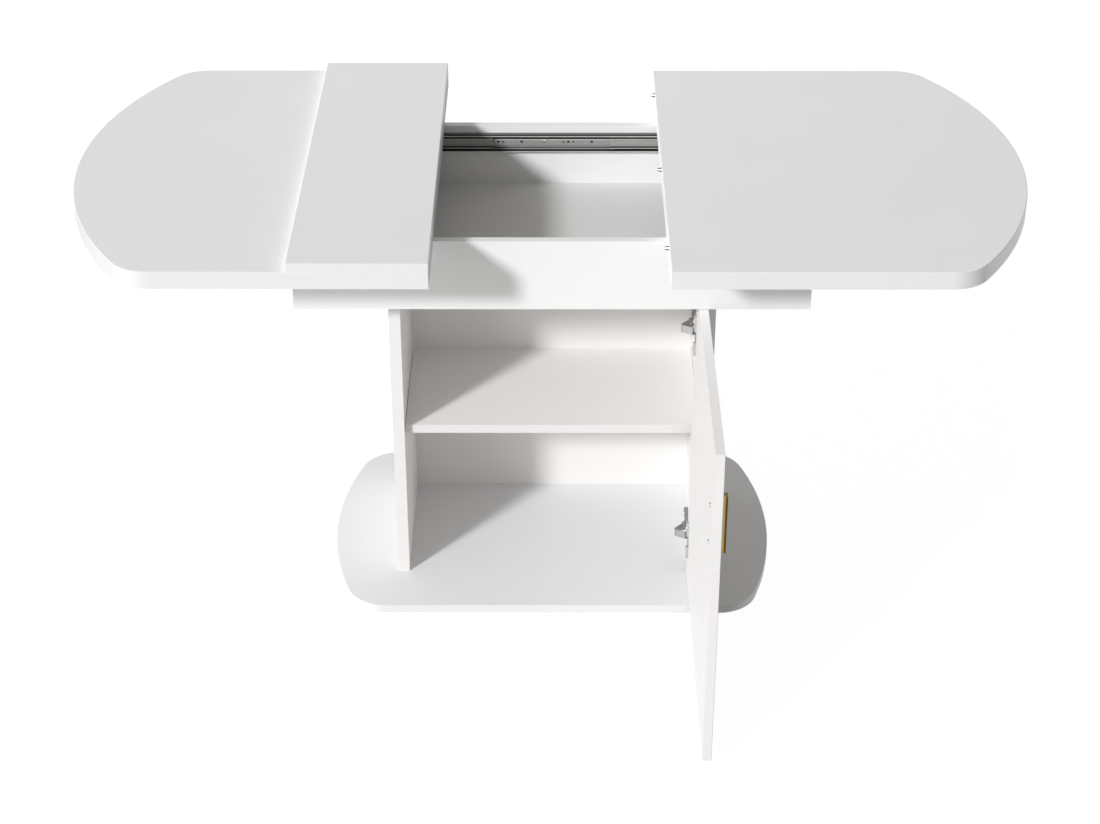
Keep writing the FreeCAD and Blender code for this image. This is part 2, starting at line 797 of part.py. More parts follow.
def make_door():
    """The door's own frame has its inner face at x = 0 and its hinge edge at y = 0."""
    body, slab = board("door_panel", 0, dim.door_thickness, -door_width, 0, door_height)
    rounded(body, slab, "door_arris", dim.door_edge_round,
            lambda edge: is_upright(edge) and edge.Vertexes[0].X > dim.door_thickness.value / 2)
    cups = [(cup_y - door_hinge_edge, height - door_bottom) for height in hinge_heights]
    bore = dim.cup_diameter + 2 * dim.pin_clearance
    depth = dim.cup_depth + dim.cup_wall + dim.pin_clearance
    drill(body, "YZ_Plane", 0, cups, bore, depth, True, "door_cup_holes")
    screws = [(handle_y - door_hinge_edge, height - door_bottom) for height in handle_screw_heights]
    drill(body, "YZ_Plane", 0, screws, dim.handle_screw_diameter + 2 * dim.pin_clearance,
          dim.door_thickness + dim.cut_overrun, True, "door_handle_holes")
    pilots = [(cup_screw_y - door_hinge_edge, level - door_bottom)
              for height in hinge_heights for level in cup_screw_heights(height)]
    drill(body, "YZ_Plane", 0, pilots, hinge_screw_bore, hinge_pilot_depth - dim.wing_thickness, True,
          "door_hinge_pilots")
    place(body, door_inner, door_hinge_edge, door_bottom)


def make_handle():
    """A square bar on two round feet, with a threaded hole in each foot for its screw."""
    bar = dim.handle_bar_width
    thickness = dim.handle_bar_thickness
    foot_length = dim.handle_stand_off - thickness
    bore = dim.handle_screw_diameter + 2 * dim.pin_clearance
    start = (door_outer + foot_length, handle_y - bar / 2, handle_height - dim.handle_length / 2)
    pieces = [block("handle_bar", thickness, bar, dim.handle_length, start)]
    holes = []
    for height in handle_screw_heights:
        foot = (door_outer, handle_y, height)
        pieces.append(rod("handle_foot", dim.handle_foot_diameter, foot_length, foot, "+x"))
        holes.append(rod("handle_hole", bore, dim.handle_screw_grip + dim.seat_clearance, foot, "+x"))
    new_group("handle", [cut_solid("handle_drilled", joined_solid("handle_solid", pieces), holes)])


def screw(name, diameter, length, head_diameter, head_height, seat, direction):
    """A plain screw whose head lies on its seat and whose shank runs on past it."""
    x, y, z = seat
    back = {"+x": -1, "-x": 1}[direction]
    shank = rod(name + "_shank", diameter, length, seat, direction)
    head = rod(name + "_head", head_diameter, head_height, (x + back * head_height, y, z), direction)
    return joined_solid(name, [shank, head])


def make_handle_screws():
    """Pan-head screws from inside the door into the handle's feet."""
    length = dim.door_thickness + dim.handle_screw_grip
    screws = [screw("handle_screw", dim.handle_screw_diameter, length, dim.handle_screw_head,
                    dim.handle_screw_head_height, (door_inner, handle_y, height), "+x")
              for height in handle_screw_heights]
    new_group("handle_screws", screws)


def hinge_geometry():
    """Plan places of the hinge: the pole of the door's quarter turn, and both link pivots.

    The arm pivot lies on the bisector of the cup pivot's open and closed places, so one rigid
    link carries the door exactly from its closed place to its open one.
    """
    closed_inner = (front_face - dim.door_gap).value
    closed_edge = (inner_width + dim.door_overlay).value
    total = door_inner.value + closed_inner
    difference = door_hinge_edge.value - closed_edge
    pole = FreeCAD.Vector((total - difference) / 2, (total + difference) / 2, 0)
    cup_closed = FreeCAD.Vector(closed_edge - dim.cup_pivot_edge.value,
                                closed_inner - dim.cup_pivot_depth.value, 0)
    offset = cup_closed - pole
    cup_open = pole + FreeCAD.Vector(-offset.y, offset.x, 0)
    bisector = math.atan2(offset.y, offset.x) + math.pi / 4
    reach = dim.hinge_reach.value
    arm = pole + FreeCAD.Vector(reach * math.cos(bisector), reach * math.sin(bisector), 0)
    start = math.atan2(cup_closed.y - arm.y, cup_closed.x - arm.x)
    end = math.atan2(cup_open.y - arm.y, cup_open.x - arm.x)
    return arm, cup_open, math.degrees(end - start)


def at_height(place_in_plan, height):
    return FreeCAD.Vector(place_in_plan.x, place_in_plan.y, height)


def rounded_path(points, radii):
    """A wire through the points in plan, with each bend rounded to its radius."""
    edges = []
    start = points[0]
    for before, bend, after, radius in zip(points, points[1:], points[2:], radii):
        towards_start = (before - bend).normalize()
        towards_end = (after - bend).normalize()
        half_angle = towards_start.getAngle(towards_end) / 2
        run = radius / math.tan(half_angle)
        middle = (towards_start + towards_end).normalize()
        first, last = bend + towards_start * run, bend + towards_end * run
        crest = bend + middle * (radius / math.sin(half_angle) - radius)
        edges += [Part.LineSegment(start, first).toShape(), Part.Arc(first, crest, last).toShape()]
        start = last
    edges.append(Part.LineSegment(start, points[-1]).toShape())
    return Part.Wire(edges)


def upright_strip(path, sheet_size, height):
    """A strip of sheet metal on edge that follows a wire in plan, from the wire's level up."""
    start = path.Edges[0].Vertexes[0].Point
    along = path.Edges[0].tangentAt(path.Edges[0].FirstParameter)
    across = FreeCAD.Vector(-along.y, along.x, 0) * (sheet_size / 2)
    upward = FreeCAD.Vector(0, 0, height)
    corners = [start - across, start + across, start + across + upward, start - across + upward]
    profile = Part.makePolygon(corners + corners[:1])
    return path.makePipeShell([profile], True, False)


def make_hinge_link(arm, cup, height):
    """A hooked strip of steel between two eyes, which folds into the cup when the door shuts.

    Its knee stands off beside the arm, and its toe turns back into the cup.
    """
    tall, eye_tall = dim.link_height.value, dim.link_eye_height.value
    upward = FreeCAD.Vector(0, 0, 1)
    knee = arm - FreeCAD.Vector(dim.link_knee_side.value, dim.link_knee_drop.value, 0)
    toe = cup - FreeCAD.Vector(dim.link_toe_side.value, dim.link_toe_drop.value, 0)
    path = rounded_path([arm, knee, toe, cup], [dim.link_knee_radius.value, dim.link_toe_radius.value])
    path.translate(FreeCAD.Vector(0, 0, height - tall / 2))
    strip = upright_strip(path, dim.link_sheet.value, tall)
    eye = dim.link_eye.value / 2
    trim_radius = dim.arm_nose_radius.value + dim.link_sheet.value
    bore = dim.hinge_pin_diameter.value / 2 + dim.pin_clearance.value
    for pivot, radius in ((arm, trim_radius), (cup, eye + dim.seat_clearance.value)):
        for level in (height - tall / 2, height + eye_tall / 2):
            strip = strip.cut(Part.makeCylinder(radius, (tall - eye_tall) / 2, at_height(pivot, level), upward))
    low = height - eye_tall / 2
    for pivot in (arm, cup):
        strip = strip.fuse(Part.makeCylinder(eye, eye_tall, at_height(pivot, low), upward))
    for pivot in (arm, cup):
        strip = strip.cut(Part.makeCylinder(bore, eye_tall, at_height(pivot, low), upward))
    return strip.removeSplitter()


arm_far = inner_width - dim.plate_sheet - dim.plate_block_height
arm_near = arm_far - dim.arm_thickness
plate_y = front_face + dim.plate_set_back
arm_back = plate_y + dim.plate_block_length / 2 + dim.arm_tail
arm_screw_places = (arm_back - dim.arm_screw_setback,
                    arm_back - dim.arm_screw_setback - dim.arm_screw_spacing)
arm_screw_bore = dim.arm_screw_diameter + 2 * dim.pin_clearance


def make_hinge_arm(arm, height):
    """The arm lies on the mounting plate, and its two cheeks hold the link's eye between them."""
    upward = FreeCAD.Vector(0, 0, 1)
    tall = dim.arm_height.value
    bottom = height - tall / 2
    near, far = arm_near.value, arm_far.value
    nose = dim.arm_nose_radius.value
    shoulder = arm.y + nose
    back = arm_back.value
    bar = Part.makeBox(far - near, back - shoulder, tall, FreeCAD.Vector(near, shoulder, bottom))
    outline = [FreeCAD.Vector(arm.x - nose, arm.y, bottom), FreeCAD.Vector(arm.x + nose, arm.y, bottom),
               FreeCAD.Vector(far, shoulder, bottom), FreeCAD.Vector(far, shoulder + nose, bottom),
               FreeCAD.Vector(near, shoulder + nose, bottom)]
    web = Part.Face(Part.makePolygon(outline + outline[:1])).extrude(upward * tall)
    shape = bar.fuse(web).fuse(Part.makeCylinder(nose, tall, at_height(arm, bottom), upward))
    room = tall - 2 * dim.arm_cheek.value
    slot_radius = nose + dim.link_sheet.value
    slot = Part.makeCylinder(slot_radius, room, at_height(arm, height - room / 2), upward)
    bore = dim.hinge_pin_diameter.value / 2
    hole = Part.makeCylinder(bore + dim.pin_clearance.value, tall, at_height(arm, bottom), upward)
    shape = shape.cut(slot).cut(hole)
    for y in arm_screw_places:
        start = FreeCAD.Vector(near, y.value, height)
        across = FreeCAD.Vector(1, 0, 0)
        shape = shape.cut(Part.makeCylinder(arm_screw_bore.value / 2, far - near, start, across))
    return shape.removeSplitter()


def make_hinge_pin(pivot, height, length):
    """A steel pivot pin, upright, centred at a height."""
    start = at_height(pivot, height - length / 2)
    return Part.makeCylinder(dim.hinge_pin_diameter.value / 2, length, start, FreeCAD.Vector(0, 0, 1))


def plate_screw_heights(height):
    return (height - dim.plate_screw_spacing / 2, height + dim.plate_screw_spacing / 2)


def cup_screw_heights(height):
    return (height - dim.cup_screw_spacing / 2, height + dim.cup_screw_spacing / 2)


hinge_screw_bore = dim.hinge_screw_diameter + 2 * dim.pin_clearance
hinge_pilot_depth = dim.hinge_screw_length + dim.seat_clearance
cup_screw_y = cup_y - dim.wing_offset


def oblong(name, thickness, width, length, centre):
    """A flat strip across X with round ends, upright, with its centre at the near face."""
    x, y, z = centre
    half_straight = (length - width) / 2
    pieces = [block(name + "_middle", thickness, width, 2 * half_straight,
                    (x, y - width / 2, z - half_straight))]
    for end in (-half_straight, half_straight):
        pieces.append(rod(name + "_end", width, thickness, (x, y, z + end), "+x"))
    return pieces


def make_hinge_plate(height):
    """Mounting plate on the side: two screw wings and the raised block that the arm clips on."""
    near = inner_width - dim.plate_sheet
    wings = oblong("plate_wing", dim.plate_sheet, dim.plate_wing_width, dim.plate_wing_length,
                   (near, plate_y, height))
    raised = block("plate_block", dim.plate_block_height, dim.plate_block_length, dim.plate_block_width,
                   (near - dim.plate_block_height, plate_y - dim.plate_block_length / 2,
                    height - dim.plate_block_width / 2))
    holes = [rod("plate_hole", hinge_screw_bore, dim.plate_sheet, (near, plate_y, z), "+x")
             for z in plate_screw_heights(height)]
    holes.append(rod("arm_screw_hole", arm_screw_bore, dim.arm_screw_grip + dim.seat_clearance,
                     (arm_far, arm_screw_places[1], height), "+x"))
    return cut_solid("hinge_plate", joined_solid("plate_solid", wings + [raised]), holes)


def make_hinge_cup(height):
    """Pressed steel cup sunk in the door, with a flange and two screw wings on its inner face."""
    depth = dim.cup_depth + dim.cup_wall
    wing_face = door_inner - dim.wing_thickness
    shell = rod("cup_shell", dim.cup_diameter, depth, (door_inner, cup_y, height), "+x")
    flange = rod("cup_flange", dim.cup_diameter + 2 * dim.flange_rim, dim.flange_thickness,
                 (door_inner - dim.flange_thickness, cup_y, height), "+x")
    wings = oblong("cup_wing", dim.wing_thickness, dim.wing_width, dim.wing_length,
                   (wing_face, cup_screw_y, height))
    hollow = rod("cup_hollow", dim.cup_diameter - 2 * dim.cup_wall, dim.wing_thickness + dim.cup_depth,
                 (wing_face, cup_y, height), "+x")
    holes = [rod("cup_hole", hinge_screw_bore, dim.wing_thickness, (wing_face, cup_screw_y, z), "+x")
             for z in cup_screw_heights(height)]
    return cut_solid("hinge_cup", joined_solid("cup_solid", [shell, flange] + wings), [hollow] + holes)


def hinge_screws(name, face, y, heights):
    """Wood screws with their heads on a hinge's sheet metal."""
    return [screw(name, dim.hinge_screw_diameter, dim.hinge_screw_length, dim.hinge_screw_head,
                  dim.hinge_screw_head_height, (face, y, height), "+x") for height in heights]


def make_arm_screws(height):
    """The adjusting screw at the arm's tail and the one that clamps the arm on its plate."""
    grips = (dim.arm_thickness, dim.arm_thickness + dim.arm_screw_grip)
    return [screw("arm_screw", dim.arm_screw_diameter, grip, dim.arm_screw_head, dim.arm_screw_head_height,
                  (arm_near, y, height), "+x") for y, grip in zip(arm_screw_places, grips)]


def make_hinges():
    arm, cup, link_turn = hinge_geometry()
    plate_screws = []
    cup_screws = []
    arm_screws = []
    for height in hinge_heights:
        plate_screws += hinge_screws("plate_screw", inner_width - dim.plate_sheet, plate_y,
                                     plate_screw_heights(height))
        cup_screws += hinge_screws("cup_screw", door_inner - dim.wing_thickness, cup_screw_y,
                                   cup_screw_heights(height))
        arm_screws += make_arm_screws(height)
    new_group("hinge_plates", [make_hinge_plate(height) for height in hinge_heights])
    new_group("hinge_plate_screws", plate_screws)
    new_group("hinge_cups", [make_hinge_cup(height) for height in hinge_heights])
    new_group("hinge_cup_screws", cup_screws)
    new_group("hinge_arm_screws", arm_screws)
    heights = [height.value for height in hinge_heights]
    across = abs(cup_y.value - cup.y) + dim.hinge_pin_diameter.value / 2
    reach = math.sqrt((dim.cup_diameter.value / 2 - dim.cup_wall.value) ** 2 - across ** 2)
    cup_pin_length = 2 * (reach - dim.seat_clearance.value)
    shapes = {
        "hinge_arms": [make_hinge_arm(arm, height) for height in heights],
        "hinge_arm_pins": [make_hinge_pin(arm, height, dim.arm_height.value) for height in heights],
        "hinge_links": [make_hinge_link(arm, cup, height) for height in heights],
        "hinge_cup_pins": [make_hinge_pin(cup, height, cup_pin_length) for height in heights],
    }
    for label, pieces in shapes.items():
        new_solid(label, Part.makeCompound(pieces))
    print("hinge arm pivot %.4f %.4f" % (arm.x, arm.y))
    print("hinge cup pivot %.4f %.4f" % (cup.x, cup.y))
    print("link turn from closed to open %.4f degrees" % link_turn)


def check_and_write():
    """Refuse a failed or empty shape, then write one file for each sub-part."""
    doc.recompute()
    failed = [item.Label for item in doc.Objects if "Invalid" in item.State or "Error" in item.State]
    for item in doc.Objects:
        if item.TypeId == "PartDesign::Pocket" and item.Shape.Volume >= item.BaseFeature.Shape.Volume:
            failed.append(item.Label + " cuts nothing")
    for item in parts:
        if item.Shape.isNull() or not item.Shape.isValid() or not item.Shape.Solids:
            failed.append(item.Label + " has no valid shape")
    if failed:
        raise RuntimeError("failed: " + ", ".join(failed))
    os.makedirs("parts", exist_ok=True)
    for item in parts:
        item.Shape.exportStep(os.path.join("parts", item.Label + ".step"))
    print("%d sub-parts, %d solids" % (len(parts), sum(len(item.Shape.Solids) for item in parts)))


make_base()
make_cabinet()
make_tray()
make_slides()
make_half("left_top", -1, dim.left_pull)
make_half("right_top", 1, dim.right_pull)
make_pins()
make_cleats()
make_leaf()
make_door()
make_handle()
make_handle_screws()
make_hinges()
check_and_write()
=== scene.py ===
import json
import math

import bmesh
import bpy
from mathutils import Matrix, Vector


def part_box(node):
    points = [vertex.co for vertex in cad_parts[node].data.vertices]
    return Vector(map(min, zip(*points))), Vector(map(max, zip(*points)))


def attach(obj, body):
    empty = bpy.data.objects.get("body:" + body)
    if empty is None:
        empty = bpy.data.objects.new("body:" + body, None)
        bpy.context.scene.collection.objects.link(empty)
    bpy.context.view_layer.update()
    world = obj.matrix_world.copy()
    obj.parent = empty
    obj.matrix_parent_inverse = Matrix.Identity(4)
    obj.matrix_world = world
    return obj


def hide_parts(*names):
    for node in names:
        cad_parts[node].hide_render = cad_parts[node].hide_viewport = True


# The looks of an extending dining table on a cabinet base: finishes for the CAD's pieces, turned screws and
# ribbed pins in place of its plain ones, and the studio of the photograph. Lengths are in metres

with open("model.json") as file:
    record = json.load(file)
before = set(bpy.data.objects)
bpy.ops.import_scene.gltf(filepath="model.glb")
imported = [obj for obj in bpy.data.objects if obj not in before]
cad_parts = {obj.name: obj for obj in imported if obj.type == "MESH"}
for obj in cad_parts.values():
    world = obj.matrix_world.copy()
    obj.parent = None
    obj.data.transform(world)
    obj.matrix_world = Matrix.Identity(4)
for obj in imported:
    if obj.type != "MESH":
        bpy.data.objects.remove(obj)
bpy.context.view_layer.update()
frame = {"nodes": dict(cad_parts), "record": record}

NODES = frame["nodes"]
MM = 0.001


# Node tools

# How squarely a surface has to look along an axis before it starts to count and before it counts in full,
# where 0 is not at all and 1 is wholly
FACING = (0.70, 0.95)
ROUND_FACING = (0.20, 0.80)

# Most of a noise pattern lies between these values
NOISE_RANGE = (0.3, 0.7)


class Nodes:
    """Short names for adding and joining the nodes of one material, or of the world."""

    def __init__(self, tree):
        self.tree = tree
        self.shader = tree.nodes.get("Principled BSDF")

    def add(self, kind, **settings):
        """A new shader node. Each setting is one of its inputs, or else one of its options."""
        node = self.tree.nodes.new("ShaderNode" + kind)
        for name, value in settings.items():
            if name in node.inputs:
                node.inputs[name].default_value = value
            else:
                setattr(node, name, value)
        return node

    def put(self, source, target):
        """Joins a socket to an input, or sets the input to a number or to a colour."""
        if isinstance(source, bpy.types.NodeSocket):
            self.tree.links.new(source, target)
        elif isinstance(source, tuple):
            target.default_value = (*source, 1.0)
        else:
            target.default_value = source

    def feed(self, name, source):
        """Puts a socket, a number or a colour into an input of the surface shader."""
        self.put(source, self.shader.inputs[name])

    def calculate(self, operation, *values):
        """The result of one operation on sockets or numbers."""
        node = self.add("Math", operation=operation)
        for value, target in zip(values, node.inputs):
            self.put(value, target)
        return node.outputs[0]

    def part_along(self, axis, vector):
        """One of the three parts of a vector."""
        parts = self.add("SeparateXYZ")
        self.put(vector, parts.inputs["Vector"])
        return parts.outputs[axis]

    def place(self, stretch=(1.0, 1.0, 1.0)):
        """A point's place in the piece's own frame, in metres, stretched along each axis."""
        mapping = self.add("Mapping", Scale=stretch)
        self.put(self.add("TexCoord").outputs["Object"], mapping.inputs["Vector"])
        return mapping.outputs["Vector"]

    def place_along(self, axis):
        return self.part_along(axis, self.place())

    def away_from(self, axis, level):
        """How far a point lies from a level, along an axis."""
        return self.calculate("ABSOLUTE", self.calculate("SUBTRACT", self.place_along(axis), level))

    def faces_along(self, axis, facing=FACING, one_way=False):
        """One where the surface looks along an axis, either way or only up it, and zero elsewhere."""
        look = self.part_along(axis, self.add("TexCoord").outputs["Normal"])
        if not one_way:
            look = self.calculate("ABSOLUTE", look)
        return self.spread(look, 0.0, 1.0, facing)

    def noise(self, scale=1.0, detail=2.0, stretch=(1.0, 1.0, 1.0), roughness=0.5):
        """A cloudy pattern. Scale and stretch say how many clouds lie in a metre."""
        node = self.add("TexNoise", Scale=scale, Detail=detail, Roughness=roughness)
        self.put(self.place(stretch), node.inputs["Vector"])
        return node.outputs["Fac"]

    def spread(self, value, low, high, within=NOISE_RANGE):
        """Maps the values within a range onto low to high. Values outside it give low or high."""
        node = self.add("MapRange")
        for name, number in zip(("From Min", "From Max", "To Min", "To Max"), (*within, low, high)):
            node.inputs[name].default_value = number
        self.put(value, node.inputs["Value"])
        return node.outputs["Result"]

    def ramp(self, value, stops):
        """Colours along a value: each stop is (place, (red, green, blue))."""
        node = self.add("ValToRGB")
        elements = node.color_ramp.elements
        while len(elements) < len(stops):
            elements.new(0.5)
        for element, (place, colour) in zip(elements, stops):
            element.position = place
            element.color = (*colour, 1.0)
        self.put(value, node.inputs["Fac"])
        return node.outputs["Color"]

    def mix(self, factor, first, second):
        """A blend of two colours: the first at factor zero, the second at one."""
        node = self.add("Mix", data_type="RGBA")
        targets = {item.name: item for item in node.inputs if item.enabled}
        for name, source in (("Factor", factor), ("A", first), ("B", second)):
            self.put(source, targets[name])
        return next(item for item in node.outputs if item.enabled)

    def mix_shaders(self, factor, first, second):
        """A blend of two shaders: the first at factor zero, the second at one."""
        node = self.add("MixShader")
        for source, target in zip((factor, first, second), node.inputs):
            self.put(source, target)
        return node.outputs[0]

    def bump(self, height, strength, distance, under=None):
        """A relief, on top of another one if that is given."""
        node = self.add("Bump", Strength=strength, Distance=distance)
        self.put(height, node.inputs["Height"])
        if under is not None:
            self.put(under, node.inputs["Normal"])
        return node.outputs["Normal"]


def new_material(name, metallic=0.0):
    material = bpy.data.materials.new(name)
    material.use_nodes = True
    nodes = Nodes(material.node_tree)
    nodes.feed("Metallic", metallic)
    return material, nodes


def tinted(tint, tone):
    return tuple(tone * share for share in tint)


def mottled(nodes, pattern, tone, share):
    """A tone that falls to a share of itself where the pattern is zero."""
    return nodes.mix(pattern, tinted(tone, share), tone)


def slide_seat(member):
    """Where a slide's outer member lies: its back on the wall, its middle height and half its height."""
    low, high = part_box(member)
    wall_face = low[1] if low[1] < 0 else high[1]
    return wall_face, (low[2] + high[2]) / 2, (high[2] - low[2]) / 2


# Lacquered boards

COOL = (0.998, 1.0, 1.003)
TRAY = (1.003, 1.0, 0.992)
WARM = (1.018, 1.0, 0.986)

# For each board: its tint, the tones of its broad faces, of its edges and of its ends, and the axis that its
# broad faces look along. The tones are painted light and shade: each board, and each way that its faces look,
# is made lighter or darker for how much light falls there
BOARDS = {
    "left_top": dict(tint=COOL, face=0.860, edge=0.630, end=0.555, broad="Z"),
    "right_top": dict(tint=COOL, face=0.870, edge=0.635, end=0.930, broad="Z"),
    "leaf_panel": dict(tint=COOL, face=0.855, edge=0.630, end=0.900, broad="Z"),
    "tray_floor": dict(tint=TRAY, face=0.755, edge=0.720, end=0.720, broad="Z"),
    "tray_front_wall": dict(tint=TRAY, face=0.685, edge=0.850, end=0.800, broad="Y"),
    "tray_back_wall": dict(tint=TRAY, face=0.800, edge=0.900, end=0.860, broad="Y"),
    "tray_left_end": dict(tint=TRAY, face=0.740, edge=0.740, end=0.740, broad="X"),
    "tray_right_end": dict(tint=TRAY, face=0.740, edge=0.740, end=0.740, broad="X"),
    "cabinet_left_side": dict(tint=WARM, face=0.805, edge=0.640, end=0.640, broad="X"),
    "cabinet_right_side": dict(tint=WARM, face=0.760, edge=0.760, end=0.760, broad="X"),
    "cabinet_back": dict(tint=WARM, face=0.670, edge=0.670, end=0.670, broad="Y"),
    "shelf": dict(tint=WARM, face=0.820, edge=0.600, end=0.600, broad="Z"),
    "base_plate": dict(tint=COOL, face=0.755, edge=0.640, end=0.930, broad="Z"),
    "door_panel": dict(tint=WARM, face=0.725, edge=0.660, end=0.880, broad="X"),
}

# Boards whose painted end tone runs round their corners
ROUND_ENDED = {"base_plate"}

# Boards whose outer face, the one that looks up its axis, has a tone of its own: a darker painted shade for
# the strong light that falls on it when the door is shut
OUTER_FACE_SHADE = {"door_panel": 0.63}

# Boards painted near black in a strip that a slide's outer member covers: painted shadow behind the member,
# seen only through its holes
SHADOW_STRIPS = {"tray_front_wall": "slide_outer_front", "tray_back_wall": "slide_outer_back"}
PAINTED_SHADOW = (0.045, 0.034, 0.024)

# How far inside the member's edges the painted shadow is full, and where it ends
STRIP_FULL = 4.0 * MM
STRIP_END = 3.0 * MM

# The depths in the wall between which the painted shadow gives way to lacquer
STRIP_DEPTH = (1.0 * MM, 1.5 * MM)

LACQUER_ROUGHNESS = (0.42, 0.52)
LACQUER_SPECULAR = 0.22
LACQUER_MOTTLE = 0.985


def painted_shadow_strip(nodes, member):
    """One in the strip of a wall that a slide's outer member covers, where the painted shadow goes, and zero
    elsewhere.
    """
    wall_face, middle, half = slide_seat(member)
    height = nodes.spread(nodes.away_from("Z", middle), 1.0, 0.0, (half - STRIP_FULL, half - STRIP_END))
    depth = nodes.spread(nodes.away_from("Y", wall_face), 1.0, 0.0, STRIP_DEPTH)
    return nodes.calculate("MULTIPLY", height, depth)


def lacquer_with_painted_light(board, tint, face, edge, end, broad):
    """Satin white lacquer: slight orange peel, patches of sheen and a soft mottle.

    The broad faces look along the axis called broad. The edges are a shade off them, and so are the ends,
    which look left and right, or up and down on a board whose broad faces look left and right: painted light
    and shade for how much light falls on each way that a face looks.
    """
    material, nodes = new_material("lacquer_" + board)
    mottle = nodes.spread(nodes.noise(scale=5.0, detail=4.0), 0.0, 1.0)
    edge_painted_tone, end_painted_tone, face_painted_tone = [mottled(nodes, mottle, tinted(tint, tone), LACQUER_MOTTLE)
                                         for tone in (edge, end, face)]
    end_axis = "Z" if broad == "X" else "X"
    facing = ROUND_FACING if board in ROUND_ENDED else FACING
    # Painted light and shade: the edges and the ends take tones of their own by the way they face
    painted_facing_shade = nodes.mix(nodes.faces_along(end_axis, facing), edge_painted_tone, end_painted_tone)
    colour = nodes.mix(nodes.faces_along(broad), painted_facing_shade, face_painted_tone)
    # Painted shade on the door's outer face
    if board in OUTER_FACE_SHADE:
        outer_painted_shade = tinted(tint, OUTER_FACE_SHADE[board])
        colour = nodes.mix(nodes.faces_along(broad, one_way=True), colour, outer_painted_shade)
    # Painted shadow behind the slides, seen through their holes
    if board in SHADOW_STRIPS:
        colour = nodes.mix(painted_shadow_strip(nodes, SHADOW_STRIPS[board]), colour, PAINTED_SHADOW)
    nodes.feed("Base Color", colour)
    nodes.feed("Roughness", nodes.spread(nodes.noise(scale=14.0, detail=3.0), *LACQUER_ROUGHNESS))
    nodes.feed("Specular IOR Level", LACQUER_SPECULAR)
    peel = nodes.bump(nodes.noise(scale=650.0), strength=0.10, distance=0.06 * MM)
    waves = nodes.bump(nodes.noise(scale=70.0, detail=1.0), strength=0.06, distance=0.3 * MM, under=peel)
    nodes.feed("Normal", waves)
    return material


# Metals

LINES_ALONG_X = (6.0, 700.0, 700.0)
LINES_ALONG_Z = (900.0, 900.0, 8.0)

# The shares of its roughness between which handling marks vary a pressed metal
MARKED_ROUGHNESS = (0.9, 1.15)


def fine_lines(nodes, stretch, roughness):
    """Rolled or brushed lines, in the roughness and as a slight relief."""
    lines = nodes.noise(detail=3.0, stretch=stretch, roughness=0.6)
    nodes.feed("Roughness", nodes.spread(lines, *roughness))
    nodes.feed("Normal", nodes.bump(lines, strength=0.2, distance=0.04 * MM))


def cloudy_plating(nodes, strength):
    return nodes.spread(nodes.noise(scale=45.0, detail=4.0), 0.0, strength)


def rolled_steel(name, tone, metallic):
    """Zinc-plated sheet with fine rolling lines."""
    material, nodes = new_material(name, metallic)
    nodes.feed("Base Color", mottled(nodes, cloudy_plating(nodes, 1.0), tone, share=0.90))
    fine_lines(nodes, LINES_ALONG_X, roughness=(0.357, 0.504))
    return material


def pressed_metal(name, tone, roughness, metallic=1.0):
    """Pressings and turned pieces, with slight waviness and handling marks."""
    material, nodes = new_material(name, metallic)
    marks = nodes.noise(scale=320.0, detail=4.0)
    smoother, rougher = [roughness * share for share in MARKED_ROUGHNESS]
    nodes.feed("Base Color", mottled(nodes, nodes.spread(marks, 0.0, 1.0), tone, share=0.95))
    nodes.feed("Roughness", nodes.spread(marks, smoother, rougher))
    nodes.feed("Normal", nodes.bump(nodes.noise(scale=500.0), strength=0.06, distance=0.05 * MM))
    return material


# Tones of a slide's members down their height: each band is (from, to, tone), in millimetres from the slide's
# middle. The near black bands are painted shade in the gaps and races, and the bright bands are painted
# highlights along the webs and the lips' edges
PAINTED_GAP_SHADE = 0.03
PAINTED_LINE_HIGHLIGHT = 0.60
PAINTED_EDGE_HIGHLIGHT = 0.85
OUTER_WEB = ((-16.4, -14.9, PAINTED_GAP_SHADE), (-14.7, -13.6, PAINTED_LINE_HIGHLIGHT), (-13.3, -11.6, PAINTED_GAP_SHADE), (-11.2, 2.9, 0.34),
             (3.3, 4.9, PAINTED_LINE_HIGHLIGHT), (5.2, 13.4, PAINTED_GAP_SHADE), (14.0, 16.4, 0.16))
OUTER_LIPS = ((-16.4, -14.9, 0.80), (-14.6, 13.0, PAINTED_GAP_SHADE), (13.3, 14.6, PAINTED_EDGE_HIGHLIGHT), (14.9, 16.4, PAINTED_GAP_SHADE))
MIDDLE_WEB = ((-16.4, -8.2, PAINTED_GAP_SHADE), (-7.8, 16.4, 0.38))
MIDDLE_LIPS = ((-16.4, -10.5, PAINTED_GAP_SHADE), (-10.3, -9.1, PAINTED_EDGE_HIGHLIGHT), (-8.9, 6.8, PAINTED_GAP_SHADE), (7.0, 8.3, PAINTED_EDGE_HIGHLIGHT),
               (8.5, 16.4, PAINTED_GAP_SHADE))

# The lips' tones take over from the web's between these distances from the wall
LIP_START = (7.9 * MM, 8.1 * MM)

CHANNEL_TINT = (1.0, 0.985, 0.955)
CHANNEL_ROUGHNESS = (0.36, 0.50)
CHANNEL_SPECULAR = 0.3
DULL_PLATING = (0.12, 0.12, 0.12)
DULL_SHARE = 0.16


def band_stops(bands, half):
    """Two stops of a ramp up a slide's height for each band, which leaves a short blend between bands."""
    return [(0.5 + 0.5 * offset * MM / half, tinted(CHANNEL_TINT, tone))
            for low, high, tone in bands for offset in (low, high)]


